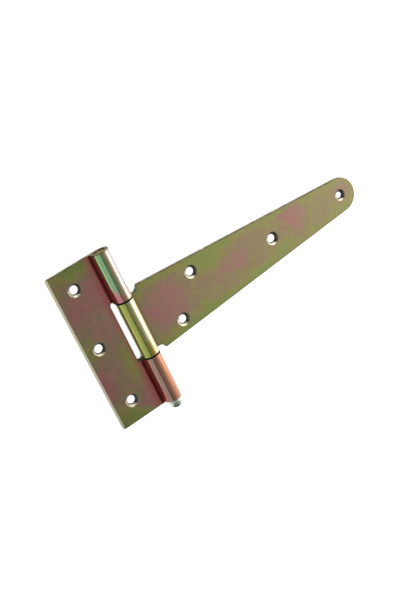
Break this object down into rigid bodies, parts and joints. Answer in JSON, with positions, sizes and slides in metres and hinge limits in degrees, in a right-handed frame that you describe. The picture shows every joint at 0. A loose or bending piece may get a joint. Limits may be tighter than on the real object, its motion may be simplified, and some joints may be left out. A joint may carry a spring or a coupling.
{
  "type": "t hinge",
  "caption": "Tee hinge for a gate or door: a short rectangular leaf and a long tapered strap, rolled round one pin with a domed head.",
  "frame": {"origin": "on the back plane of both plates, under the middle of the hinge pin, where the leaf ends and the strap starts", "axes": "+X along the strap to its tip; +Y along the pin, away from its domed head; +Z out of the front, the side where the knuckles stand proud"},
  "size_m": [0.2, 0.1051, 0.0104],
  "materials": {
    "leaf": "yellow passivated zinc on pressed steel",
    "strap": "yellow passivated zinc on pressed steel",
    "pin": "pale zinc on a headed steel pin"
  },
  "bodies": {
    "leaf": {"leaf": "leaf", "hinge_pin": "pin"},
    "strap": {"strap": "strap"}
  },
  "joints": [
    {"name": "strap_swing", "type": "hinge", "parent": "leaf", "child": "strap", "pos_m": [0, 0, 0.0052], "axis": [0, -1, 0], "range_deg": [-110, 190]}
  ]
}
